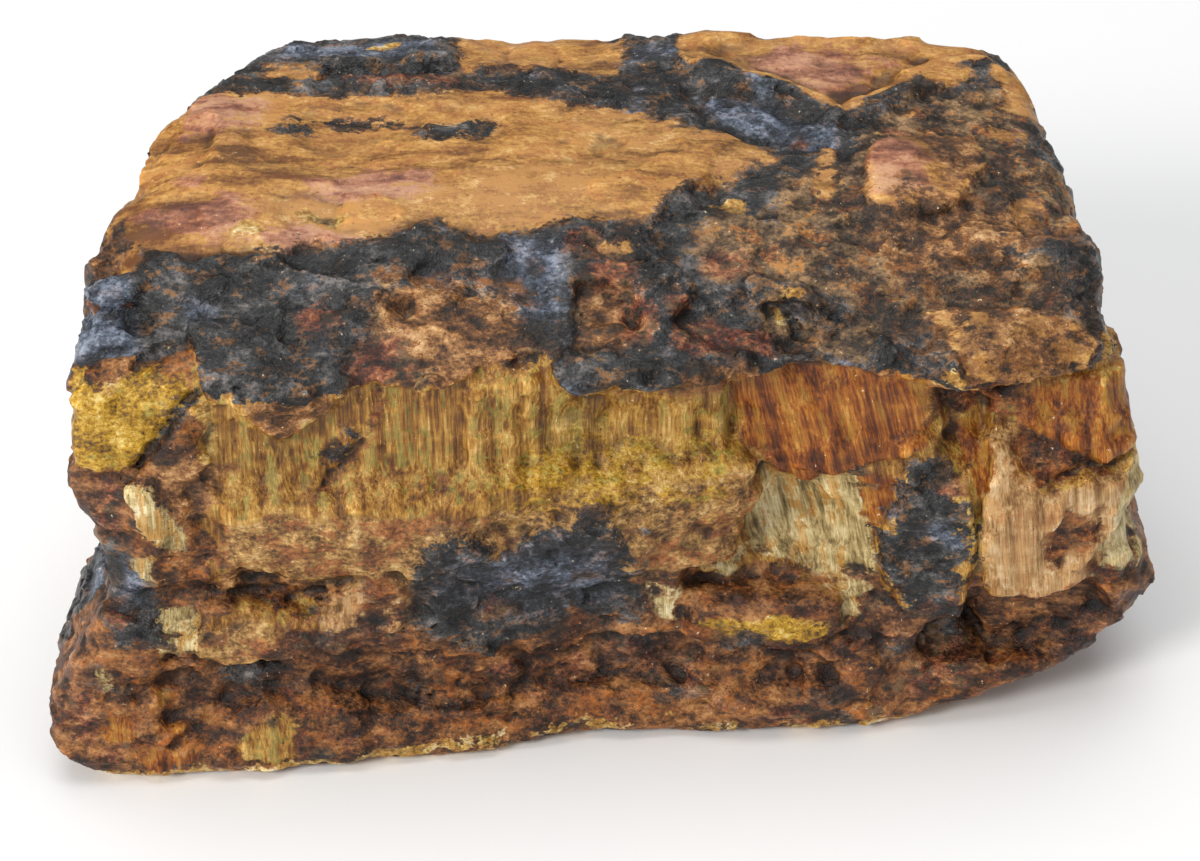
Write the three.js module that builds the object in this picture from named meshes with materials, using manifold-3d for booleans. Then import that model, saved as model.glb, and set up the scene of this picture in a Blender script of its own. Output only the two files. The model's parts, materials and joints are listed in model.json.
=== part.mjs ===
// A rough block of tiger's eye: one broken stone, longer than it is deep, lying on a flat break.
// Its beds are level: a fibrous seam between crusts of iron oxide, under a smooth bed of ochre.
// Millimetres. X runs along the block, Y from the fibrous front to the back, Z up from the ground.
import * as THREE from "three";
import { mergeVertices } from "three/addons/utils/BufferGeometryUtils.js";
import Module from "manifold-3d";

const LENGTH = 168; // along X
const DEPTH = 98; // along Y
const HEIGHT = 83; // along Z
const SEGMENTS = { x: 38, y: 24, z: 20 }; // cells of the net along each axis

// The breaks that bound the stone. Each is a plane through the point at, facing out along facing.
const BREAKS = [
  { name: "ochre bed on top", at: [-10, 15, 82.5], facing: [0.02, -0.04, 1] },
  { name: "top falling to the right end", at: [50, 10, 80.5], facing: [0.15, -0.05, 1] },
  { name: "top falling to the left end", at: [-66, 5, 82.5], facing: [-0.35, -0.12, 1] },
  { name: "gentle slope of the crust", at: [-15, -24.5, 75], facing: [0.03, -0.33, 1] },
  { name: "steep slope of the crust", at: [0, -34, 67], facing: [0.1, -0.8, 1] },
  { name: "front", at: [0, -39, 10], facing: [0.09, -1, 0.06] },
  { name: "front, right corner", at: [77, -30, 30], facing: [0.5, -1, 0.05] },
  { name: "left end, front half", at: [-77, -36, 62], facing: [-1, -0.1, 0.16] },
  { name: "left end, middle", at: [-75, -12, 76], facing: [-1, 0.22, 0.14] },
  { name: "left end, back half", at: [-63.5, 23, 80], facing: [-1, 0.45, 0.1] },
  { name: "left end, underside", at: [-84, -38, 12], facing: [-0.9, -0.1, -0.35] },
  { name: "right end", at: [77, -25, 68], facing: [1, 0.1, 0.16] },
  { name: "right end, underside", at: [83, -34, 19], facing: [0.75, -0.1, -0.6] },
  { name: "undercut below the right corner", at: [52, -34, 3], facing: [0.4, -0.4, -1] },
  { name: "back, middle", at: [0, 48.5, 45], facing: [0.03, 1, 0.02] },
  { name: "back, left corner", at: [-50, 44, 40], facing: [-0.55, 1, -0.05] },
  { name: "back, right corner", at: [62, 44, 40], facing: [0.5, 1, -0.1] },
  { name: "back, upper bevel", at: [0, 45.5, 79], facing: [0.02, 1, 0.4] },
  { name: "back, underside", at: [0, 46, 10], facing: [-0.05, 1, -0.5] },
  { name: "ground", at: [0, 0, -1.5], facing: [0, 0, -1] },
];
const HEART = new THREE.Vector3(-2, 5, 42); // every break can be seen from here
const RIDGE_CRISPNESS = 48; // higher leaves the ridges between breaks sharper

// Places where the stone stands out from its breaks (+) or is hollow (-), each fading out over an
// ellipsoid of the given radii.
const RELIEF = [
  { name: "bow of the whole front", at: [-6, -39, 12], radii: [64, 30, 55], lift: -3.2 },
  { name: "lip of the crust, left", at: [-46, -41, 68], radii: [30, 12, 7], lift: 3.5 },
  { name: "lip of the crust, middle", at: [2, -35, 66], radii: [38, 14, 6], lift: 3.5 },
  { name: "lip of the crust, right", at: [52, -32, 65], radii: [26, 14, 8], lift: 3.5 },
  { name: "hollow of the long fibres", at: [-8, -38, 54], radii: [62, 14, 10], lift: -3 },
  { name: "hollow of the pale fibres", at: [30, -35, 38], radii: [20, 14, 15], lift: -4 },
  { name: "hollow above the right foot", at: [60, -32, 18], radii: [14, 12, 9], lift: -3 },
  { name: "hollow over the gold ledge", at: [-45, -43, 33], radii: [40, 14, 6], lift: -2.5 },
  { name: "gold ledge", at: [-38, -42, 24], radii: [36, 14, 5], lift: 2 },
  { name: "foot, left", at: [-66, -46, 9], radii: [26, 16, 14], lift: 1.5 },
  { name: "waist of the left end", at: [-80, -34, 38], radii: [16, 30, 20], lift: -6 },
  { name: "notch in the left end", at: [-66, 18, 80], radii: [12, 9, 14], lift: -1.5 },
  { name: "hollow in the top, back right", at: [38, 31, 80], radii: [24, 9, 10], lift: -1.5 },
  { name: "toe of the left foot", at: [-82, -40, 10], radii: [13, 26, 12], lift: 2.5 },
  { name: "raised tile on the top", at: [44, 6, 79], radii: [16, 10, 9], lift: 1.6 },
  { name: "hollow low in the back", at: [15, 48, 25], radii: [38, 16, 18], lift: -4 },
  { name: "swelling in the back", at: [-30, 48, 50], radii: [30, 16, 20], lift: 2 },
  { name: "step across the back", at: [20, 49, 66], radii: [50, 14, 6], lift: -3 },
  { name: "hollow in the right end", at: [80, 12, 45], radii: [14, 22, 20], lift: -4 },
];
// Broad and small unevenness all over: [size of a swell, how far it stands out].
const SWELLS = [
  [36, 1.3],
  [14, 0.9],
];

// A repeatable random number from -1 to 1 for a corner of the noise lattice.
function cornerValue(i, j, k) {
  const s = Math.sin(i * 127.1 + j * 311.7 + k * 74.7) * 43758.5453;
  return 2 * (s - Math.floor(s)) - 1;
}

// Smooth noise from -1 to 1 that swells over a distance of one unit.
function swell(x, y, z) {
  const [i, j, k] = [Math.floor(x), Math.floor(y), Math.floor(z)];
  const ease = (t) => t * t * (3 - 2 * t);
  const [u, v, w] = [ease(x - i), ease(y - j), ease(z - k)];
  const mix = THREE.MathUtils.lerp;
  const edge = (b, c) => mix(cornerValue(i, b, c), cornerValue(i + 1, b, c), u);
  return mix(mix(edge(j, k), edge(j + 1, k), v), mix(edge(j, k + 1), edge(j + 1, k + 1), v), w);
}

// Distance from the heart to the breaks along a unit direction.
function reach(direction) {
  let sum = 0;
  for (const { at, facing } of BREAKS) {
    const normal = new THREE.Vector3(...facing).normalize();
    const towards = normal.dot(direction);
    if (towards <= 0.01) continue;
    const away = normal.dot(new THREE.Vector3(...at).sub(HEART));
    sum += (towards / away) ** RIDGE_CRISPNESS;
  }
  return sum ** (-1 / RIDGE_CRISPNESS);
}

// How far the stone stands out at a point of its breaks: the relief and the unevenness together.
function standOut(point) {
  let out = 0;
  for (const { at, radii, lift } of RELIEF) {
    const offset = point.clone().sub(new THREE.Vector3(...at)).divide(new THREE.Vector3(...radii));
    out += lift * Math.max(0, 1 - offset.lengthSq()) ** 2;
  }
  for (const [size, lift] of SWELLS) {
    out += lift * swell(point.x / size + 3, point.y / size + 7, point.z / size + 1);
  }
  return out;
}

// The net: a closed box of cells around the heart, each corner moved out onto the stone's surface.
function stoneSurface() {
  const net = new THREE.BoxGeometry(LENGTH, DEPTH, HEIGHT, SEGMENTS.x, SEGMENTS.y, SEGMENTS.z);
  net.deleteAttribute("normal");
  net.deleteAttribute("uv");
  const surface = mergeVertices(net, 1e-3);
  const position = surface.attributes.position;
  for (let i = 0; i < position.count; i++) {
    const direction = new THREE.Vector3().fromBufferAttribute(position, i).normalize();
    const point = HEART.clone().addScaledVector(direction, reach(direction));
    point.addScaledVector(direction, standOut(point));
    position.setXYZ(i, point.x, point.y, point.z);
  }
  return surface;
}

// Cuts the foot off level at the ground, so that the stone rests on one flat break.
async function cutLevel(surface) {
  const wasm = await Module();
  wasm.setup();
  const solidOf = (geometry) =>
    new wasm.Manifold(
      new wasm.Mesh({
        numProp: 3,
        vertProperties: new Float32Array(geometry.attributes.position.array),
        triVerts: new Uint32Array(geometry.index.array),
      }),
    );
  const slab = new THREE.BoxGeometry(2 * LENGTH, 2 * DEPTH, HEIGHT).translate(0, 0, -HEIGHT / 2);
  slab.deleteAttribute("normal");
  slab.deleteAttribute("uv");
  const cut = solidOf(surface).subtract(solidOf(mergeVertices(slab, 1e-3))).getMesh();
  return new THREE.BufferGeometry()
    .setAttribute("position", new THREE.BufferAttribute(cut.vertProperties, 3))
    .setIndex(new THREE.BufferAttribute(cut.triVerts, 1));
}

// Scales the stone to its stated size and puts the origin under its middle, on the ground.
function fitToSize(geometry) {
  geometry.computeBoundingBox();
  const { min, max } = geometry.boundingBox;
  geometry.translate(-(min.x + max.x) / 2, -(min.y + max.y) / 2, -min.z);
  geometry.scale(LENGTH / (max.x - min.x), DEPTH / (max.y - min.y), HEIGHT / (max.z - min.z));
  return geometry;
}

const stone = new THREE.Mesh(
  fitToSize(await cutLevel(stoneSurface())),
  new THREE.MeshStandardMaterial({ color: 0x8a5a2c, roughness: 0.6, metalness: 0 }),
);
stone.name = "tigers_eye_block";

const block = new THREE.Group();
block.add(stone);

export default block;
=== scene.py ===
"""A rough block of tiger's eye on a pale studio floor: one broken stone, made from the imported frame.

The stone is sculpted in millimetres: broad breaks first, then edges and cracks, then fibres and
grain. Each mineral has patches with outlines in millimetres, on the front as (x, z) and on the top
as (x, y); the ends and the back carry the same beds on from there by their level.
"""
import itertools
import json
import math
from collections import namedtuple

import bpy
import numpy as np
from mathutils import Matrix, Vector

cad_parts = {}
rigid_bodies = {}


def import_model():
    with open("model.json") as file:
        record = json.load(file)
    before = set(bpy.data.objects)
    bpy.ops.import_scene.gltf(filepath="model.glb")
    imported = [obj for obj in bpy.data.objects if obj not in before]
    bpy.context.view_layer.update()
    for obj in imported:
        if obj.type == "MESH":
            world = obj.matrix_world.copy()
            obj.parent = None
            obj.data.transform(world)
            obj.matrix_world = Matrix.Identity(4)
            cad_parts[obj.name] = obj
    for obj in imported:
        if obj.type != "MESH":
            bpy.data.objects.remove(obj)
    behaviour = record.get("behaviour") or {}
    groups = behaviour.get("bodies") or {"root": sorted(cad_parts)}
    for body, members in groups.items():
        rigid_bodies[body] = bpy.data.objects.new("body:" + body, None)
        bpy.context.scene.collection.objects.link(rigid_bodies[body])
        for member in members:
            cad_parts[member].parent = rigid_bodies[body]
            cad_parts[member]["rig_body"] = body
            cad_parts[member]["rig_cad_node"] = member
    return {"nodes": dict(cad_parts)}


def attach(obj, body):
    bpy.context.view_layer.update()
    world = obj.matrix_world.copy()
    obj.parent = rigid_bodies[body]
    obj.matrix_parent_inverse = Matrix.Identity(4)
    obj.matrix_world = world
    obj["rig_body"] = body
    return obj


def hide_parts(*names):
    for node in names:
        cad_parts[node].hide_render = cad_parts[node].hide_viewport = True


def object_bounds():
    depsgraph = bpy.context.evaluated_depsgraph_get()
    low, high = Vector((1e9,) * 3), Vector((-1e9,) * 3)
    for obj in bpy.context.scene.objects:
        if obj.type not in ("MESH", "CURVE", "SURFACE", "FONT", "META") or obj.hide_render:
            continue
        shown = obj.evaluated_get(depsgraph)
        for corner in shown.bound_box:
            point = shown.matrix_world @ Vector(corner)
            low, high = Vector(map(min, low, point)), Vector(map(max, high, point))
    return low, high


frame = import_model()
cad_low, cad_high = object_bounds()

MM = 0.001
NODE = "tigers_eye_block"
TRIANGLES = 194000
# The cells of the net, in mm, for the broad breaks, for the edges and cracks, and for the grain.
BROAD_CELL = 1.25
EDGE_CELL = 0.8
FINE_CELL = 0.62

# ---------------------------------------------------------------- the stone's shape, in mm

# These tables are rows of a place and the value there, and run straight from row to row.
# Height of the lip of the crust along the front, and how deep the fibres lie back under it.
LIP = [(-84, 74), (-60, 74), (-57, 69), (-44, 66.5), (-30, 67), (-20, 69.5), (-8, 69.5), (-4, 67),
       (16, 65.5), (30, 66.5), (46, 65.5), (50, 64), (60, 63.5), (73, 64), (84, 65)]
LIP_DEPTH = [(-84, 1), (-59, 1), (-54, 2.5), (-40, 3), (-20, 3), (0, 3.6), (17, 3.2), (30, 2.6), (46, 3.2),
             (52, 6), (68, 6), (75, 3), (84, 1)]
# Where the front of the stone stands, as y along x, and how far behind that it still is the front.
FRONT_LINE = [(-84, -47), (-50, -46), (-25, -43), (0, -40), (30, -38), (60, -35), (84, -23)]
FRONT_REACH = 11
# How far the ends and the foot of the front stand out past the frame (+) or lie back (-), by height.
LEFT_END = [(0, 1.5), (12, 1.2), (20, -1), (27, -2.8), (35, -1.6), (42, 0.6), (50, 1.6), (70, 1.4), (80, 0)]
RIGHT_END = [(0, -2.4), (8, 0), (14, 1.2), (20, 2.6), (27, 1.8), (34, -0.6), (50, -1.4), (60, -0.8),
             (66, 0.2), (83, 0)]
# How far the top of the left end stands out past the frame.
LEFT_TOP = 2.2
# How far the front of the foot stands out, by height.
FOOT = [(0, 1.8), (5, 1.8), (12, 0)]
# How thick one bed is, where they show as steps on the ends and the back.
BED_THICKNESS = 6.5
# How high the back of the top stands past the frame, by x.
BACK_EDGE = [(-84, -2), (-46, -2.2), (-24, -1.2), (-8, -2), (8, -1), (16, 1.5), (40, 2.2), (62, 1), (84, 0)]

# Places that stand out (+) or lie back (-): face, lift, width of the edge, outline, and where the
# lift is full and where it has faded to nothing, if it fades.
SHAPES = [
    ("step right of the slab", "front", -3.6, 0.9,
     [(17.5, 66), (18.5, 59), (19.5, 52), (21.5, 50), (23.5, 48.5), (23.5, 43), (22.5, 37.5),
      (21, 34), (19, 31.5), (15, 31.5), (12, 33), (12, 27), (45, 25), (46, 50), (48, 66)],
     [(20, 45), (48, 45)]),
    ("rust fibres over the pale ones", "front", 1.6, 0.8,
     [(16, 70), (50, 70), (49, 50.5), (45.5, 50.5), (42.5, 49.5), (39, 48), (36.5, 46.5),
      (32.5, 46), (31, 43.5), (27, 46), (24, 49), (20.5, 51.5)], None),
    ("dark column", "front", 1.4, 3.0,
     [(44, 54), (50.5, 53), (54.5, 48), (56.5, 40), (57.5, 33), (56, 26), (55.5, 19.5), (46, 21),
      (42.5, 30.5), (42, 37), (44, 44)], None),
    ("block of fibres on the right", "front", 2.6, 1.0,
     [(58.5, 58), (62, 62), (79, 61), (80, 40), (76, 34), (72, 26), (60, 25), (57.5, 34)], None),
    ("purple hollow, upper", "front", -1.5, 1.4,
     [(60, 55), (68.5, 50.5), (78, 47), (77.5, 45.5), (72, 45), (67, 43.5), (63.5, 47)], None),
    ("purple hollow, lower", "front", -1.2, 1.6,
     [(66.5, 36), (70, 42), (72.5, 40), (76, 42), (75.5, 36), (70, 31), (67.5, 31)], None),
    ("hollow under the right block", "front", -4.0, 1.6,
     [(57, 25), (66, 24.5), (76, 25), (79, 20), (72, 12), (60, 11), (56, 18)], None),
    ("black hollow in the right foot", "front", -4.5, 2.0,
     [(49, 15), (52, 19.5), (58, 19), (60, 14), (56, 11.5), (51, 12)], None),
    ("gold corner lies back", "front", -1.4, 0.6,
     [(-79, 74), (-60, 74), (-57.5, 67.5), (-61.5, 62.5), (-66.5, 56.5), (-72, 55), (-80, 56)], None),
    ("splash of crust", "front", 0.4, 2.5,
     [(-29, 33), (-27, 41), (-23, 43), (-20, 42.5), (-16, 38), (-13, 38.5), (-10, 43.5), (-4, 45),
      (0.5, 45), (4, 37), (7.5, 28), (6, 22), (-4, 24), (-10, 20.5), (-18, 19), (-28, 24)], None),
    ("belly of the slab", "front", 2.2, 7.0,
     [(-56, 49), (-30, 50), (0, 50), (18, 51), (23, 48), (22, 36), (16, 31), (-6, 31), (-30, 33),
      (-46, 34), (-56, 39)], None),
    ("gold ledge", "front", 2.4, 0.9,
     [(-62, 22), (-61, 30), (-56, 31.5), (-49, 29), (-45, 29.5), (-41, 32), (-35, 34), (-30, 33),
      (-29, 27), (-36, 23.5), (-43, 22.5), (-50, 21), (-58, 20)], None),
    ("step across the gold ledge", "front", -0.9, 0.6,
     [(-47, 31), (-44, 26), (-46, 21), (-38, 22), (-30, 25), (-29, 30), (-38, 28.5), (-43, 29.5)], None),
    ("tongue of the lip", "front", 2.2, 1.0,
     [(-54, 70), (-50.5, 64), (-48, 60), (-45.5, 59), (-43, 61), (-39, 64.5), (-34, 70)], None),
    ("ledge under the lip", "front", 1.6, 0.8,
     [(-34, 71), (-31, 66.5), (-24, 67), (-16, 69), (-8, 69.5), (-8, 73), (-34, 73)], None),
    ("gold fibre chip", "front", 1.6, 0.7, [(-60, 33), (-59, 39), (-54.5, 39), (-55, 33)], None),
    ("cream fibres, left edge", "front", 1.4, 0.8,
     [(-69.5, 54), (-66, 54), (-61, 47), (-61, 41), (-66, 41), (-69, 48)], None),
    ("hollow over the left ledge", "front", -1.2, 1.8,
     [(-66, 42), (-56, 40), (-46, 34), (-40, 31), (-46, 30), (-56, 32.5), (-66, 33)], None),
    ("band over the foot", "front", -2.2, 2.0,
     [(-68, 18), (-50, 20), (-30, 19), (-12, 18), (14, 18), (36, 15), (36, 10), (14, 9), (-12, 10),
      (-30, 8), (-52, 13), (-68, 9)], None),
    ("foot of olive fibres", "front", 1.4, 1.0,
     [(-60, 2), (-57, 12), (-46, 14), (-38, 11), (-36, 3), (-47, 0)], None),
    ("rounded boss low in the front", "front", 1.8, 2.0,
     [(-30, 8), (-28, 16), (-22, 21), (-16, 20), (-12, 13), (-15, 8)], None),
    ("ridge under the pale fibres", "front", 2.6, 1.2,
     [(13, 18), (14, 24), (24, 27.5), (36, 26), (38, 21), (32, 18), (22, 17)], None),
    ("folded foot on the right", "front", 1.6, 1.4,
     [(14, 8), (16, 16), (30, 18), (42, 18), (44, 10), (36, 5), (22, 4)], None),
    ("raised tile", "top", 1.4, 0.5,
     [(41, 5.5), (45, 9.5), (51, 12), (58.5, 12.5), (59.5, 9.5), (58.5, 5), (56.5, -2), (54, -5),
      (50, -6.5), (44, -7.5), (40.5, -7.5), (39, -4.5), (40, 0)], None),
    ("hollow inside the ridge", "top", -1.6, 2.4,
     [(16, 33), (23, 31), (30, 27.5), (38.5, 21.5), (43, 27), (50, 32), (54, 36), (48, 40), (22, 40)],
     None),
    ("ridge, left limb", "top", 1.3, 1.2,
     [(12, 31), (21.5, 29.5), (30, 25.5), (38, 19), (38, 15), (28, 20), (20, 24.5), (12, 27)], None),
    ("ridge, right limb", "top", 1.0, 1.2,
     [(38, 20), (42, 24), (49, 31), (57, 35.5), (63, 37), (66, 32), (56, 28), (48, 22), (40, 15)], None),
    ("black streak at the back left", "top", -2.2, 0.9,
     [(-48, 25.5), (-46, 29), (-40, 30), (-30, 30), (-23, 28.5), (-24, 26.5), (-36, 26)], None),
    ("back strip stands higher", "top", 0.7, 0.8,
     [(-56, 29), (-46, 29.5), (-30, 30.5), (-22, 29), (-20, 27), (-8, 28.5), (0, 26), (10, 25),
      (14, 32), (6, 48), (-58, 48)], None),
    ("lens of ochre", "top", 1.4, 0.8,
     [(47, -25), (54.5, -24), (62, -23), (70, -24), (74, -27), (72, -30.5), (66, -34), (56, -37),
      (50, -35)], None),
    ("left chip of the top", "top", -1.4, 1.0,
     [(-74, -4), (-66, -5), (-60, 2), (-60, 11), (-72, 12)], None),
    ("tan chip", "top", -1.2, 0.7, [(62.5, -1), (68, -2), (69, -10), (64, -11), (62, -6)], None),
    ("dark flat right of the bed", "top", -0.8, 1.0,
     [(14, -3), (22, 3), (29, 3), (26, 7), (16, 13), (12, 24), (22, 23), (36, 15), (38, 2), (34, -8),
      (24, -10), (12, -9)], None),
]

# Open cracks: face, depth, half width, line.
CRACKS = [
    ("front", 2.2, 0.7, [(-58, 68), (-62, 63), (-66.5, 57), (-70, 54)]),
    ("front", 1.5, 0.6, [(-60, 33), (-55, 32), (-50, 31.5), (-46, 29.5), (-41, 29), (-37, 31)]),
    ("front", 1.0, 0.5, [(-30, 34), (-36, 33.5), (-44, 33.5), (-52, 35)]),
    ("front", 1.2, 0.5, [(18, 65), (18.5, 58), (19.5, 52)]),
    ("front", 1.8, 0.6, [(23.6, 48), (23.6, 43), (22.6, 37.5), (21, 34), (19, 31.3), (14, 31.5)]),
    ("front", 1.4, 0.4, [(-12.5, 69), (-12, 61), (-11.5, 52), (-12, 47)]),
    ("front", 0.9, 0.4, [(1, 62), (0, 57), (-3, 55.5)]),
    ("front", 2.4, 0.6, [(79, 47.5), (74, 47), (68.5, 45)]),
    ("front", 2.4, 0.8, [(-66, 21), (-56, 19), (-44, 20), (-33, 21)]),
    ("front", 1.6, 0.6, [(58, 26), (66, 25.5), (75, 26)]),
    ("front", 1.6, 0.6, [(57.5, 52), (58, 42), (57, 33), (56, 24)]),
    ("front", 1.3, 0.5, [(42, 36), (43.5, 43), (46, 51)]),
    ("front", 1.2, 0.5, [(-2, 19), (6, 18), (14, 18.5), (24, 17)]),
    ("top", 1.2, 0.4, [(-15.5, 38), (-15, 33), (-16.5, 28)]),
    ("top", 1.0, 0.4, [(-8, 38), (-7.5, 33), (-9, 29)]),
    ("top", 1.0, 0.4, [(-4, -24), (-3.5, -28), (-4.5, -33)]),
    ("top", 1.2, 0.5, [(4, -24), (3.5, -29), (2, -34)]),
    ("top", 1.5, 0.8, [(25, 11), (28.5, 12)]),
    ("top", 1.6, 0.8, [(28, -25), (29, -27), (30, -28.5)]),
    ("top", 0.9, 0.4, [(62, 34), (58, 31), (50, 32), (47, 30)]),
    ("top", 1.4, 0.6, [(-48, 21), (-42, 22), (-36, 21.5)]),
    ("top", 0.8, 0.35, [(-43, 12.5), (-37, 12.2), (-31, 12.6)]),
    ("top", 0.8, 0.4, [(38, 0), (37.5, 8), (38, 15)]),
]

# ---------------------------------------------------------------- patches of each mineral, in mm

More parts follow.
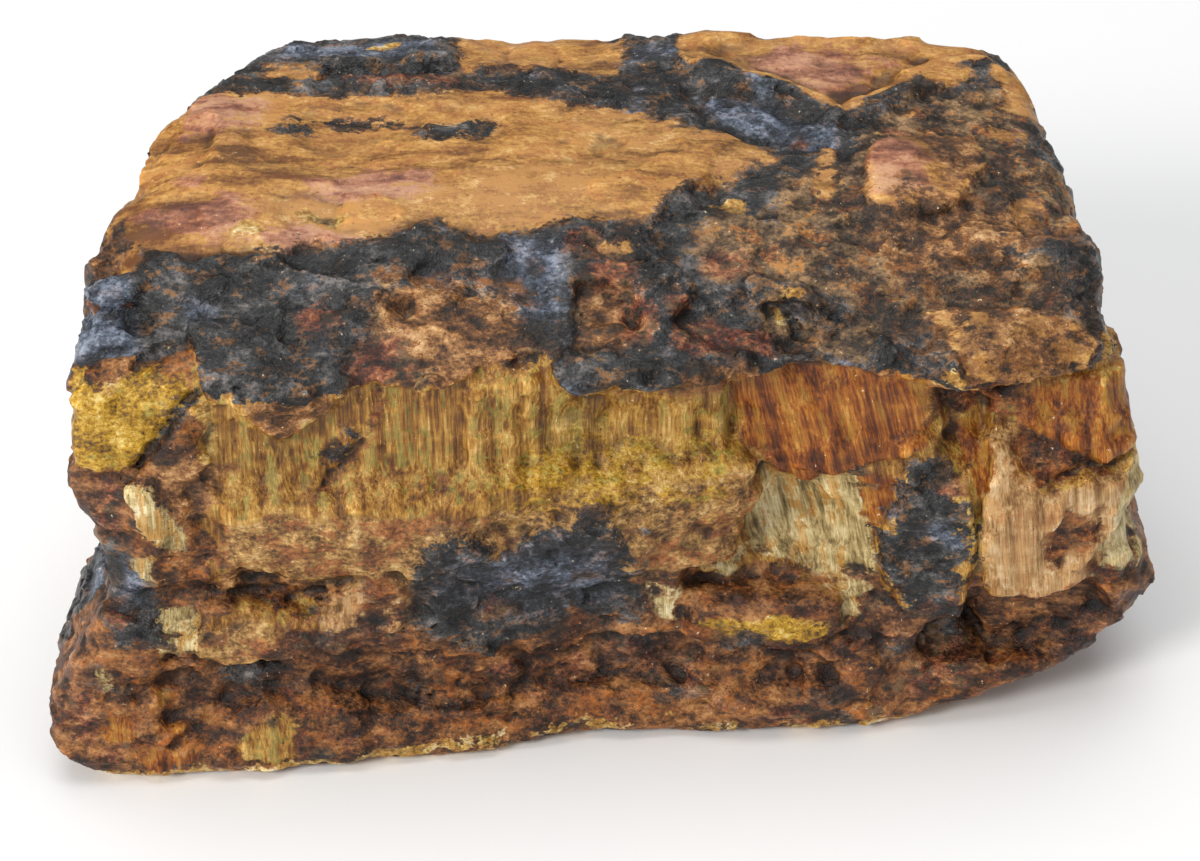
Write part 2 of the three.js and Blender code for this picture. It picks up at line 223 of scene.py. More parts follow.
# Face, half width, points, and for some a share below 1 that makes the patch shallow, so that noise
# breaks it up. A patch with no width is an outline; one with a width is a streak along its points,
# or a round spot where it has only one.
PATCHES = {
    "seam": [
        ("front", 0, [(-60, 75), (84, 75), (84, 25), (72, 25), (58, 25.5), (56, 20), (42, 23), (36, 25),
                      (20, 28), (12, 31), (-6, 33), (-30, 34), (-46, 35), (-56, 39), (-60, 47), (-57, 57)]),
        ("front", 0, [(-61, 23), (-60, 30), (-55, 31.5), (-49, 29), (-44, 30), (-40, 32), (-35, 34),
                      (-31, 33), (-31, 27), (-37, 24.5), (-44, 24), (-50, 22), (-57, 21)]),
        ("front", 0, [(-56, 4), (-54, 10), (-49, 12), (-46, 9), (-48, 3)]),
        ("front", 0, [(-59, 33), (-58.5, 39), (-55, 39), (-55.5, 33)]),
    ],
    "grain": [
        ("front", 0, [(-57, 46), (-45, 48), (-30, 46), (-18, 45), (-8, 47), (3, 48.5), (12, 48.5),
                      (19, 50), (24, 49), (23, 37), (20, 31), (8, 30), (-30, 33), (-46, 33), (-57, 38)]),
        ("front", 0, [(64, 48), (66, 58), (71, 61), (78.5, 60), (78.5, 48), (73, 48)]),
        ("front", 0, [(49.5, 51), (50.5, 55.5), (53.5, 55), (54, 51.5)]),
        ("front", 0, [(-61, 23), (-60, 28), (-55, 30), (-49, 28), (-45, 25), (-50, 22), (-57, 21)]),
    ],
    "pale": [
        ("front", 0, [(23.5, 49), (26, 45), (31, 43), (33, 46), (36.5, 46), (39, 47), (39, 43),
                      (41.5, 36), (42, 28.5), (41, 24), (36, 26), (28, 29), (21, 31), (22, 35), (24, 43)]),
        ("front", 0, [(14.5, 31), (20, 31), (22, 28), (15.5, 27.5)]),
        ("front", 0, [(7, 28.5), (12.5, 28), (12, 21.5), (9, 21.5)]),
        ("front", 0, [(-69.5, 54), (-66, 54), (-62, 47), (-62, 42), (-65, 42), (-68, 48)]),
        ("front", 0, [(-70.5, 41), (-67, 41), (-66.5, 35), (-69.5, 35)]),
        ("front", 0, [(-68.5, 30), (-61, 30), (-60, 24), (-67, 21.5)]),
        ("front", 1.0, [(-76, 20), (-75, 17)]),
        ("front", 0, [(37, 27), (42, 26), (42.5, 22), (37, 22)]),
        ("front", 0, [(71, 34), (76, 40), (80, 47), (84, 50), (84, 24), (73, 25)]),
    ],
    "tan": [
        ("front", 0, [(58, 52), (61, 54), (64, 48), (66, 44.5), (70, 45), (78, 46), (78, 37), (76, 30),
                      (74, 26), (69, 25.5), (62, 25.5), (58, 27), (57, 36), (58, 44)]),
        ("front", 0, [(-44, 24), (-43, 31), (-36, 34), (-29, 34), (-29, 26), (-36, 24)]),
    ],
    "rust": [
        ("front", 0, [(19, 70), (50, 70), (49, 52), (45.5, 50.5), (42.5, 49.5), (39, 48), (36.5, 46.5),
                      (32.5, 46), (31, 43.5), (27, 46), (24, 49), (20.5, 51.5)]),
        ("front", 0, [(38.5, 47), (44, 46), (43, 39), (41.5, 36.5), (39, 42)]),
        ("front", 0, [(53.5, 53), (57.5, 52), (58.5, 44), (56, 42)]),
        ("front", 0, [(62, 48), (62, 58), (71, 62), (80, 60), (80, 48), (73, 48)], 0.4),
        ("front", 0, [(-72, 5), (-62, 6), (-60, 2), (-70, 1.5)]),
    ],
    "green": [
        ("front", 0, [(-10, 61), (-7, 61), (-6.5, 51), (-10, 51)]),
        ("front", 0, [(-5, 64), (1, 64), (0, 50), (-5, 50)]),
        ("front", 0, [(10, 65), (13.5, 65), (13, 60.5), (10.5, 60.5)]),
        ("front", 0, [(78.5, 49), (81.5, 49), (81.5, 36), (79, 36)]),
        ("front", 0, [(-50, 66), (-46, 66), (-45, 55), (-48, 52), (-50, 58)]),
        ("front", 0, [(73, 33), (84, 46), (84, 25), (74, 25)]),
    ],
    "yellow": [
        ("front", 0, [(-12, 51), (6, 52), (16, 52), (16, 48), (6, 47), (-12, 47)], 0.12),
        ("front", 0, [(-78, 68.5), (-70, 68), (-60, 69), (-57.5, 66.5), (-61.5, 62.5), (-66.5, 57),
                      (-72, 56), (-78, 56.5)]),
        ("front", 0, [(15.5, 23), (22, 24), (34, 22.5), (34, 19.5), (24, 18.5), (15.5, 20)]),
        ("top", 0.3, [(-9, 22.5), (-4.5, 23), (0.5, 23.5), (7, 21.5), (15, 20)]),
        ("top", 1.3, [(22.5, 0), (25, 0.3)]),
        ("top", 1.2, [(65.5, -14), (68.5, -14)]),
        ("top", 0.8, [(-39, -39)]),
        ("top", 0.7, [(-6.5, -24.5), (-3, -23.5)]),
        ("top", 0.8, [(21, -12)]),
    ],
    "ochre": [
        ("top", 0, [(-75, -14), (-67, -19), (-60.5, -21.5), (-51, -20), (-40.5, -18), (-31, -16),
                    (-25, -13.5), (-19, -17), (-5, -12.5), (7, -13), (10, -7), (13, -4), (20, 0),
                    (22, 2.5), (28, 3), (26, 6.5), (20.5, 10.5), (13, 12.5), (6, 17), (-6, 18),
                    (-10, 19.5), (-17, 22), (-28, 20.5), (-36, 20.5), (-48, 19.5), (-58, 22),
                    (-66, 19), (-72, 8)]),
        ("top", 0, [(-55, 26), (-53, 30), (-46, 30), (-46, 26)]),
        ("top", 0, [(-23, 27), (-24, 44), (-12, 46), (2, 44), (4, 34), (2, 26), (-8, 28.5), (-15, 28)]),
        ("top", 0, [(12, 36), (14, 46), (44, 46), (60, 42), (64, 36), (57, 32), (48.5, 27.5),
                    (41.5, 20.5), (38.5, 17), (29, 24), (21.5, 27), (12, 30)], 2),
        ("top", 0, [(41, 5.5), (45, 9.5), (51, 12), (58.5, 12.5), (59.5, 9.5), (58.5, 5), (56.5, -2),
                    (54, -5), (50, -6.5), (44, -7.5), (40.5, -7.5), (39, -4.5), (40, 0)], 2.5),
        ("top", 0, [(59.5, 13), (61, 17.5), (67, 17), (67, 13)]),
        ("top", 0, [(62.5, -1), (68, -1), (68.5, -10), (64, -11)]),
        ("top", 0, [(48, -25.5), (54.5, -25), (62, -25), (68.5, -25), (72, -27), (73, -28.5),
                    (69.5, -31.5), (65, -33.5), (58.5, -36), (54, -35), (51, -32), (48.5, -28)], 3),
        ("top", 0, [(-74, -22), (-68, -23), (-67, -16), (-73, -15)]),
        ("top", 1.4, [(34.3, -3), (34.3, 7)]),
        ("top", 2.6, [(53, 29), (57, 30)]),
        ("top", 0, [(64, 22), (74, 23), (78, 30), (70, 38), (63, 34)]),
        ("top", 1.5, [(0.5, -17), (3.5, -17)]),
    ],
    "maroon": [
        ("top", 0, [(-71, -12), (-65, -9.5), (-58, -9), (-52, -11), (-54, -16), (-57.5, -18), (-64, -16)]),
        ("top", 0, [(-53.5, -18), (-49, -15.5), (-43, -14), (-35, -16), (-37, -18), (-47, -19.5)]),
        ("top", 0, [(-44.5, -6), (-38.5, -4), (-35, -1.5), (-25.5, -3), (-25, -6.5), (-31, -10),
                    (-37, -9.5), (-44, -8)]),
        ("top", 0, [(-66, 9), (-64, 20), (-54, 20), (-52, 12), (-58, 8)]),
        ("top", 0, [(20, -6.5), (22, -1), (29.5, 2.5), (30, -3), (26, -7)]),
        ("top", 0, [(22, 31), (29, 36), (38, 37), (46, 33), (43, 29), (38, 26), (29, 29)], 0.5),
        ("top", 0, [(47, -17), (48, -12), (59.5, -11), (58, -17)]),
        ("top", 0, [(40, 4), (46, 9), (50, 4), (50, -4), (44, -7), (40, -6)]),
        ("top", 1.0, [(-64, -5), (-61, -5)]),
    ],
    "purple": [
        ("front", 0, [(60.5, 54.5), (68.5, 50), (78, 46.5), (72.5, 45.5), (67, 44.5), (64, 47.5)]),
        ("front", 0, [(67, 36), (70, 42), (74, 38), (76, 42), (75.5, 36), (70, 31), (68, 32)]),
        ("front", 0.5, [(-31.5, 66), (-34, 59), (-37.5, 55), (-41.5, 49.5)]),
        ("front", 0, [(-78, 56), (-70, 56), (-70, 50), (-71, 44), (-78, 44)]),
        ("front", 0, [(13, 27), (24, 28.5), (36, 27), (37, 24.5), (24, 24.5), (14, 23.5)]),
        ("front", 0, [(-64, 20), (-50, 20.5), (-40, 20), (-30, 17), (-28, 9), (-40, 12), (-52, 13),
                      (-64, 9)]),
        # Painted shadow: the dark purple-brown here, below the lip, stands for the shade under the overhang
        # of the ochre lens.
        ("front", 0, [(48, 65), (68, 64), (62, 57), (54, 54), (48, 56)]),
        ("front", 0, [(57, 25), (80, 24), (74, 8), (58, 10)]),
        ("front", 0, [(-1, 19), (14, 19), (13, 9), (-2, 9)]),
    ],
    "umber": [
        ("top", 0, [(12, -12), (20, -4), (30, 0), (38, 4), (42, 14), (48, 24), (60, 28), (70, 24), (80, 10),
                    (84, -10), (80, -26), (60, -25), (46, -26), (40, -33), (28, -30), (18, -22)]),
        ("top", 0, [(-36, -36), (-28, -28), (-18, -26), (-9, -31), (-6, -34), (-10, -44), (-36, -44)]),
        ("top", 0, [(-4, -24), (4, -24), (5, -34), (-4, -34)]),
    ],
    "crust": [
        ("front", 0, [(-29, 33), (-27, 41), (-23, 43), (-20, 42.5), (-17, 41), (-16, 38), (-13, 38.5),
                      (-10, 43.5), (-5, 42.5), (-4, 45), (0.5, 45), (3, 39.5), (4.5, 36.5), (7.5, 28),
                      (6, 22), (1, 22), (-4, 24.5), (-10, 20.5), (-18, 19), (-24, 22), (-28.5, 25)]),
        ("front", 0, [(-76, 43), (-70, 42), (-66, 32), (-65, 25), (-75, 25)]),
        ("front", 0, [(46, 51), (50.5, 50.5), (53.5, 47), (54.5, 43.5), (56, 40), (57, 33), (55, 30.5),
                      (55.5, 25.5), (55.5, 19.5), (45, 23.5), (42, 30.5), (42, 37)]),
        ("front", 0, [(-6, 75), (9, 75), (8, 66), (-5, 66.5)]),
        ("front", 1.0, [(-36.5, 59), (-39.5, 55)]),
        ("front", 1.2, [(6.5, 41)]),
        ("front", 0.9, [(-57.5, 67.5), (-62, 63), (-66, 57.5)]),
        ("front", 2.2, [(36.5, 2.5)]),
        ("front", 1.2, [(38.5, 47)]),
        ("front", 2.0, [(-29, 12)]),
        ("front", 0, [(50, 12), (50, 17), (54, 20), (58, 18), (58, 13)]),
        ("top", 1.9, [(-49, 10.5), (-47, 11.5)]),
        ("top", 2.2, [(-27, 9), (-23, 8.5), (-19, 11)]),
        ("top", 0.8, [(-43, 12.5), (-37, 12.2), (-31, 12.6)]),
        ("top", 1.4, [(-20, 26), (-8.5, 27), (-3, 25), (11.5, 23.5)]),
        ("top", 1.0, [(12, 12), (20.5, 12.5)]),
    ],
    # Painted reflection: where a blue sheen, a reflection of the sky, is painted into the crust's colour.
    "painted_reflection": [
        ("top", 0, [(-80, -21), (-69, -21), (-66, -38), (-80, -39)]),
        ("top", 0, [(-61, -28), (-55, -28), (-55, -34), (-61, -34)]),
        ("top", 0, [(-15, -15), (-5, -15), (-5, -28), (-9, -31), (-15, -27)], 0.7),
        ("top", 0, [(56, -20), (60, -20.5), (60, -25), (56, -25)]),
        ("top", 0, [(14, 22), (26, 21), (37, 15), (37, 6), (30, 7), (18, 14)]),
        ("top", 0, [(-54, 31), (-52, 39), (-26, 39), (-26, 32)]),
        ("top", 0, [(3, 31), (5, 37), (13, 36), (13, 31)]),
        ("top", 2.0, [(5.5, 23.5)]),
        ("top", 1.4, [(64, -19)]),
        ("front", 0, [(-4, 25), (-3, 36), (1.5, 36), (1.5, 25)]),
        ("front", 0, [(-27, 29), (-22, 41), (-4, 43), (4, 36), (5, 25), (-12, 23)], 0.25),
        ("front", 1.0, [(46, 51), (44, 46.5), (43.3, 43), (43, 38), (42, 36)]),
        ("front", 0, [(-72, 42), (-67, 40), (-68, 30), (-73, 31)]),
        ("front", 2.4, [(51, 39), (54, 37)]),
    ],
    "flaky": [
        ("top", 0, [(-26, -46), (-25, -37), (-17, -33), (-9, -35), (-8, -46)]),
        ("top", 0, [(11, -44), (12, -35), (20, -34), (28, -35), (30, -44)]),
        ("top", 0, [(-4, -24), (3.5, -24), (4, -33), (-4, -33)]),
        ("top", 0, [(50, 11.5), (58, 12), (59, 5), (56, -1), (52, -1)]),
        ("top", 0, [(-77, -14), (-72, -12), (-70, -18), (-74, -22)]),
        ("top", 0, [(-33, -24), (-12, -24), (-11, -38), (-33, -38)], 0.35),
        ("top", 0, [(42, -4), (64, -4), (66, -19), (42, -19)], 0.2),
        ("top", 0, [(48, -26), (54, -25), (62, -25), (68, -25), (72, -27), (73, -29), (69, -32), (58, -36),
                    (52, -34)], 0.15),
        ("front", 0, [(-54, 72), (-50.5, 64), (-48, 60), (-45.5, 59), (-43, 61), (-39, 64.5), (-34, 68),
                      (-24, 67.5), (-16, 69), (-8, 69.5), (-8, 74)]),
        ("front", 0, [(10, 72), (14, 65), (20, 65), (34, 65.5), (46, 66), (46, 72)]),
        ("front", 0, [(-66, 60), (-57, 56), (-56, 50), (-58, 46), (-62, 48.5), (-65, 54)]),
        ("front", 0, [(-59, 33), (-46, 32), (-42, 30), (-48, 35), (-56, 38)]),
    ],
    "red": [
        ("top", 0, [(-37, -41), (-36, -34), (-29, -33), (-28, -41)]),
        ("top", 1.4, [(-42.5, -31.5), (-40.5, -31)]),
        ("top", 0, [(-6, -18.5), (-5, -15), (0, -15.5), (-1, -19)]),
        ("top", 0, [(-3.5, -24.5), (-2, -20), (5, -20), (4, -24.5)]),
        ("top", 0, [(2, -32), (2, -25), (7.5, -25), (7, -32)]),
        ("top", 0, [(10, -33), (10, -26), (17, -27), (25, -27), (25, -32)]),
        ("top", 1.6, [(-40, 24.5), (-32, 25), (-25, 23.5)]),
        ("top", 1.3, [(65.5, -22)]),
        ("top", 1.2, [(30, 10)]),
        ("top", 1.6, [(45, 12.5), (47, 12.5)]),
        ("top", 2.0, [(16.5, -18), (19.5, -18)]),
        ("front", 2.4, [(-4.5, 12)]),
        ("front", 1.6, [(7.5, 12)]),
        ("front", 1.5, [(14, 10)]),
        ("front", 1.6, [(17.5, 7.5)]),
        ("front", 1.4, [(51.7, 45), (53.6, 45)]),
        ("front", 1.2, [(49.5, 24)]),
        ("front", 1.1, [(54, 25)]),
        ("front", 2.0, [(49, 9.5), (52, 11.5)]),
        ("front", 1.3, [(56, 10), (56, 12.5)]),
        ("front", 1.6, [(-79, 10), (-79, 16)]),
        ("front", 1.6, [(-73, 30)]),
        ("front", 1.8, [(-72, 52), (-72.5, 46)]),
    ],
    "cream": [
        # Painted glints: a thin cream-white streak of highlight on the left fibres.
        ("front", 0.8, [(-57, 67), (-56.8, 62), (-57.2, 57)]),
        ("front", 0.9, [(4.5, 49.5)]),
        ("front", 0.8, [(7, 46)]),
        ("front", 0.9, [(12, 47)]),
        ("front", 0.7, [(5.5, 45.5)]),
        ("front", 0.7, [(-80, 1.5), (-70, 0.5), (-58, 1.5), (-44, 2), (-30, 2.5), (-16, 3.5)]),
        ("front", 0.6, [(-10, 3.2), (-2, 3.5)]),
        ("front", 0.6, [(14, 2), (21, 2)]),
        ("front", 1.0, [(41, 1.5), (45, 2)]),
        ("front", 0.3, [(-68.5, 72), (-71, 67)]),
        ("top", 1.0, [(-53.5, -16), (-51, -16)]),
        ("top", 1.3, [(-44, -13), (-39.5, -13)]),
        ("top", 0.6, [(43, 12)]),
        # The next two are painted glints: cream-white specks of highlight on the top.
        ("top", 0.7, [(17.5, -5.5), (20.5, -5.5)]),
        ("top", 0.6, [(26.5, -25), (28, -25)]),
        ("top", 0.7, [(50, -36), (56, -38)]),
        ("top", 0.6, [(75, -27), (76, -20)]),
        ("top", 0.6, [(-38, 36), (-34, 37)]),
    ],
}

# Patches with no outline, from noise: face, mineral, lowest and highest level, the value of the
# noise that they start at, size, seed. The ends and the back (side) carry the front's beds on.
STRAYS = [
    ("side", "seam", 31, 66, -2.0, 20, 11),
    ("side", "seam", 4, 15, 0.25, 16, 12),
    ("side", "grain", 31, 43, -0.4, 14, 13),
    ("side", "pale", 34, 58, 0.22, 20, 14),
    ("side", "rust", 46, 66, 0.1, 22, 15),
    ("side", "green", 48, 64, 0.5, 10, 16),
    ("side", "yellow", 18, 26, 0.2, 16, 17),
    ("side", "yellow", 52, 66, 0.55, 12, 18),
    ("side", "ochre", 71, 90, 0.05, 20, 19),
    ("side", "maroon", 6, 34, 0.3, 18, 20),
    ("side", "maroon", 66, 84, 0.35, 14, 21),
    ("side", "purple", 0, 33, 0.0, 20, 22),
    ("side", "purple", 36, 56, 0.5, 14, 23),
    ("side", "crust", 65, 76, -0.35, 16, 24),
    ("side", "crust", 0, 60, 0.42, 20, 25),
    # Painted blue reflection over the crust band of the ends and the back.
    ("side", "painted_reflection", 60, 78, 0.45, 12, 26),
    ("side", "red", 0, 32, 0.5, 9, 27),
    ("side", "red", 62, 80, 0.5, 9, 28),
    ("side", "cream", 0, 3, -0.1, 7, 29),
    ("front", "purple", 0, 34, 0.25, 13, 31),
    ("front", "crust", 5, 30, 0.5, 11, 32),
    ("front", "red", 2, 30, 0.62, 6, 34),
    ("front", "cream", 0, 1.6, 0.1, 8, 35),
    ("front", "rust", 2, 20, 0.6, 9, 36),
    ("front", "green", 47, 66, 0.62, 7, 37),
    ("front", "grain", 50, 66, 0.72, 6, 38),
    # Painted blue reflection over the crust of the top.
    ("top", "painted_reflection", 60, 90, 0.6, 10, 39),
]

# Green only tints the minerals that it lies on; the sheen is a painted blue reflection of the sky, laid
# over the crust alone.
TINTS = ("green", "painted_reflection")

# How far fibres lean as they rise, along x, and the level at which they are told apart.
LEAN = [(-84, 0.06), (-30, 0), (12, 0), (24, -0.26), (44, -0.24), (58, -0.13), (84, -0.1)]
SEAM_MIDDLE = 45


# ---------------------------------------------------------------- noise, outlines and levels

def hashed(i, j, k, seed):
    """A repeatable random number from -1 to 1 for a corner of the noise's lattice."""
    h = (i * 73856093) ^ (j * 19349663) ^ (k * 83492791) ^ (seed * 40503)
    h = h & 0xFFFFFFFF
    h = ((h ^ (h >> 16)) * 73244475) & 0xFFFFFFFF
    h = ((h ^ (h >> 15)) * 73244475) & 0xFFFFFFFF
    return (h ^ (h >> 16)) / 2147483648.0 - 1.0


def swell(p, size, seed):
    """Smooth noise from -1 to 1 at the points p. size is the length of one swell, along each axis."""
    q = p / np.asarray(size, float) + 0.37 * seed
    corner = np.floor(q).astype(np.int64)
    t = q - corner
    t = t * t * (3 - 2 * t)
    total = np.zeros(len(p))
    for step in itertools.product((0, 1), repeat=3):
        share = np.prod(np.where(step, t, 1 - t), axis=1)
        total += share * hashed(*(corner + step).T, seed)
    return total


def facets(p, size, seed):
    """Broken facets, about -1 to 1 high: each point lies on the tilted plane of its nearest centre."""
    stray, lift, tilt = 0.42, 0.45, 0.9
    q = p / np.asarray(size, float)
    cell = np.floor(q).astype(np.int64)
    nearest = np.full(len(p), 9.0)
    height = np.zeros(len(p))
    for step in itertools.product((-1, 0, 1), repeat=3):
        i, j, k = (cell + step).T
        centres = [hashed(i, j, k, seed + n) for n in range(3)]
        away = q - (cell + step) - 0.5 - stray * np.stack(centres, axis=1)
        distance = (away**2).sum(axis=1)
        closer = distance < nearest
        nearest[closer] = distance[closer]
        tilts = [hashed(i, j, k, seed + 3 + n) for n in range(3)]
        rise = (away * np.stack(tilts, axis=1)).sum(axis=1)
        plane = lift * hashed(i, j, k, seed + 6) + tilt * rise
        height[closer] = plane[closer]
    return height


def eased(value, low, high):
    """0 below low, 1 above high, and smooth between."""
    t = np.clip((value - low) / (high - low), 0, 1)
    return t * t * (3 - 2 * t)


def along(table, x):
    """Reads a table of (x, value) at every x, straight between its points."""
    return np.interp(x, [row[0] for row in table], [row[1] for row in table])


def depth_inside(u, v, width, points):
    """How far inside a patch each point (u, v) is, in mm: negative outside it."""
    closed = not width
    ends = points[1:] + (points[:1] if closed or len(points) == 1 else [])
    nearest = np.full(len(u), 1e3)
    inside = np.zeros(len(u), bool)
    for (a, b), (c, d) in zip(points, ends):
        du, dv = c - a, d - b
        t = np.clip(((u - a) * du + (v - b) * dv) / max(du * du + dv * dv, 1e-9), 0, 1)
        nearest = np.minimum(nearest, np.hypot(u - a - t * du, v - b - t * dv))
        if closed and dv:
            inside ^= ((b > v) != (d > v)) & (u < a + (v - b) * du / dv)
    return np.where(inside, nearest, -nearest) if closed else width - nearest


def leaned(p):
    """The points with x told across the fibres, so that one fibre keeps one x."""
    q = p.copy()
    q[:, 0] -= along(LEAN, p[:, 0]) * (p[:, 2] - SEAM_MIDDLE)
    return q


def near_front(p):
    """Which points are close enough behind the front's line to be on the front or its lip."""
    return p[:, 1] < along(FRONT_LINE, p[:, 0]) + FRONT_REACH


def faces_of(p, up):
    """Which points are on the front below the lip, which on the top, and their ragged places there.

    up is the height of each point's normal: 1 where the stone faces up, -1 where it faces down.
    """
    x, y, z = p.T
    lip = along(LIP, x) + 0.9 * swell(p, 5, 41) + 0.5 * swell(p, 2, 42)
    front = near_front(p) & (z < lip) & (up > -0.8)
    top = ~front & ((up > 0.38 + 0.1 * swell(p, 6, 43)) | (near_front(p) & (z > 60)))
    u = x + swell(p, 4, 44) + 0.6 * swell(p, 1.6, 45)
    v_front = z + swell(p, 4, 46) + 0.6 * swell(p, 1.6, 47)
    v_top = y + swell(p, 4.5, 48) + 0.6 * swell(p, 1.6, 49)
    return {"front": (front, u, v_front), "top": (top, u, v_top)}


def survey(p, up):
    """How far inside each mineral every point is, in mm, by the mineral's name, and the faces."""
    faces = faces_of(p, up)
    side = ~faces["front"][0] & ~faces["top"][0]
    depths = {mineral: np.full(len(p), -9.0) for mineral in PATCHES}
    for mineral, patches in PATCHES.items():
        for face, width, points, *shallow in patches:
            here, u, v = faces[face]
            depth = depth_inside(u[here], v[here], width, points) * (shallow[0] if shallow else 1)
            depths[mineral][here] = np.maximum(depths[mineral][here], depth)
    # Where the top is bare of ochre it is umber, with islands of crust.
    on_top = faces["top"][0]
    bare = -depths["ochre"][on_top]
    islands = 5 * swell(p[on_top], (13, 9, 9), 50) + 2.5 * swell(p[on_top], 4, 53) - 0.6
    crust = np.minimum(bare, np.maximum(-depths["umber"][on_top], islands))
    depths["crust"][on_top] = np.maximum(depths["crust"][on_top], crust)
    depths["umber"][on_top] = bare
    # The beds of the ends and the back rise and fall a little.
    wave = 3.6 * swell(p, 28, 51) + 1.4 * swell(p, 7, 52)
    for face, mineral, low, high, start, size, seed in STRAYS:
        here = side if face == "side" else faces[face][0]
        q = p[here]
        level = np.minimum(q[:, 2] - low + wave[here], high - q[:, 2] - wave[here])
        patch = swell(q, (size, size, 0.7 * size), seed) + 0.3 * swell(q, size / 3, seed) - start
        depth = np.minimum(level, patch * size / 2.5)
        depths[mineral][here] = np.maximum(depths[mineral][here], depth)
    return depths, faces


# ---------------------------------------------------------------- sculpting the mesh

def only(piece):
    """Selects one piece and nothing else."""
    bpy.ops.object.select_all(action="DESELECT")
    piece.select_set(True)
    bpy.context.view_layer.objects.active = piece


def remesh(piece, cell):
    """Covers the piece with an even net of cells of that size, in mm."""
    only(piece)
    modifier = piece.modifiers.new("even net", "REMESH")
    modifier.mode = "VOXEL"
    modifier.voxel_size = cell * MM
    modifier.adaptivity = 0
    bpy.ops.object.modifier_apply(modifier=modifier.name)


def places(piece):
    """The piece's points in mm, their normals, and the point pairs that its edges join."""
    mesh = piece.data
    p = np.empty(len(mesh.vertices) * 3)
    mesh.vertices.foreach_get("co", p)
    n = np.empty(len(mesh.vertices) * 3)
    mesh.vertex_normals.foreach_get("vector", n)
    edges = np.empty(len(mesh.edges) * 2, np.int32)
    mesh.edges.foreach_get("vertices", edges)
    return p.reshape(-1, 3) / MM, n.reshape(-1, 3), edges.reshape(-1, 2)


def put(piece, p):
    """Moves the piece's points to p, in mm."""
    piece.data.vertices.foreach_set("co", (p * MM).ravel())
    piece.data.update()


def spread(values, edges, rounds):
    """Averages each point's value with its neighbours', over and over."""
    count = np.bincount(edges.ravel(), minlength=len(values))[:, None]
    for _ in range(rounds):
        total = np.empty_like(values)
        for c in range(values.shape[1]):
            total[:, c] = np.bincount(edges[:, 0], values[edges[:, 1], c], len(values))
            total[:, c] += np.bincount(edges[:, 1], values[edges[:, 0], c], len(values))
        values = total / count
    return values


def broad_normals(n, edges, rounds):
    """The normals of the broad shape, without its small relief."""
    n = spread(n, edges, rounds)
    return n / np.maximum(np.linalg.norm(n, axis=1), 1e-6)[:, None]


def grounded(p):
    """1 above the foot of the stone and 0 at its resting face, which stays flat."""
    return eased(p[:, 2], 0.2, 2.5)


def depth_below_lip(p):
    """How far each point is below the ragged lip of the crust, in mm."""
    return along(LIP, p[:, 0]) + 1.2 * swell(p, 7, 61) + 0.6 * swell(p, 2.5, 62) - p[:, 2]


def lip_moves(p, below):
    """How far back the front goes: in under the lip, and out again along the lip itself."""
    undercut = eased(below, 0, 1.4) * (1 - eased(below, 4, 24)) * along(LIP_DEPTH, p[:, 0])
    stand = eased(-below, -0.4, 0.6) * (1 - eased(-below, 1, 6)) * (0.9 + 0.8 * swell(p, 9, 63))
    return undercut - stand


def bed_steps(p, steepness):
    """How far each bed stands out where the stone is steep, in mm."""
    level = p[:, 2] + 2.6 * swell(p, 34, 64) + 0.6 * swell(p, 4, 65)
    bed = np.floor(level / BED_THICKNESS).astype(np.int64)
    within_bed = np.stack([p[:, 0], p[:, 1], bed * 60.0], axis=1)
    steps = 0.8 * hashed(bed, bed * 0, bed * 0, 66) + 1.2 * swell(within_bed, 24, 67)
    return steps * eased(0.55 - steepness, 0, 0.2)


def outline_moves(p, n):
    """How far the points move along each axis to bring the outline of the whole stone into place."""
    x, y, z = p.T
    near = 1 - eased(y, -15, 25)
    moves = np.zeros_like(p)
    moves[:, 0] -= along(LEFT_END, z) * eased(-x, 60, 76) * near
    moves[:, 0] -= LEFT_TOP * eased(z, 66, 78) * eased(-x, 48, 62) * eased(y, -22, -4)
    moves[:, 0] += along(RIGHT_END, z) * eased(x, 60, 76) * near
    moves[:, 1] -= along(FOOT, z) * eased(-n[:, 1], 0.2, 0.8)
    moves[:, 2] += along(BACK_EDGE, x) * eased(y, 18, 40) * eased(z, 60, 74)
    return moves


def break_broadly(piece):
    """The undercut below the lip, the stepped beds of the ends and the back, and the largest breaks."""
    p, n, edges = places(piece)
    n = broad_normals(n, edges, 12)
    steepness = np.abs(n[:, 2])
    front = near_front(p) & (n[:, 2] > -0.8)
    side = ~front & (steepness < 0.55)
    below = depth_below_lip(p)
    breaks = 1.2 * facets(p, 21, 70) + 0.6 * swell(p, 12, 80)
    breaks *= np.where(n[:, 2] > 0.8, 0.25, 1.0) * np.where(front & (below > 0), 0.4, 1.0)
    out = (np.where(side, bed_steps(p, steepness), 0) + breaks) * grounded(p)
    moved = p + n * out[:, None] + outline_moves(p, n)
    moved[:, 1] += np.where(front, lip_moves(p, below), 0) * grounded(p)
    put(piece, moved)


def outlined_relief(faces, count):
    """How far the parts with an outline stand out or lie back, and the cracks with them, in mm."""
    out = np.zeros(count)
    for _, face, lift, edge, points, fade in SHAPES:
        here, u, v = faces[face]
        u, v = u[here], v[here]
        share = eased(depth_inside(u, v, 0, points), -edge / 2, edge / 2)
        if fade:
            (a, b), (c, d) = fade
            far = ((u - a) * (c - a) + (v - b) * (d - b)) / ((c - a) ** 2 + (d - b) ** 2)
            share *= 1 - eased(far, 0, 1)
        out[here] += lift * share
    for face, depth, width, points in CRACKS:
        here, u, v = faces[face]
        away = width - depth_inside(u[here], v[here], width, points)
        out[here] -= depth * np.exp(-((away / width) ** 2))
    return out


def roughness_of(p, depths, faces):
    """1 on the crust and the brown rock, 0 on the fibres, and little on the ochre and at the back."""
    rough = eased(np.maximum(depths["crust"], -depths["seam"]), -0.6, 0.8)
    rough = np.where(faces["top"][0], eased(depths["crust"], -0.5, 1.0), rough)
    rough *= 1 - 0.75 * eased(depths["ochre"], -0.5, 1.0)
    return rough * (1 - 0.6 * eased(p[:, 1], 24, 40) * eased(p[:, 2], 60, 74))


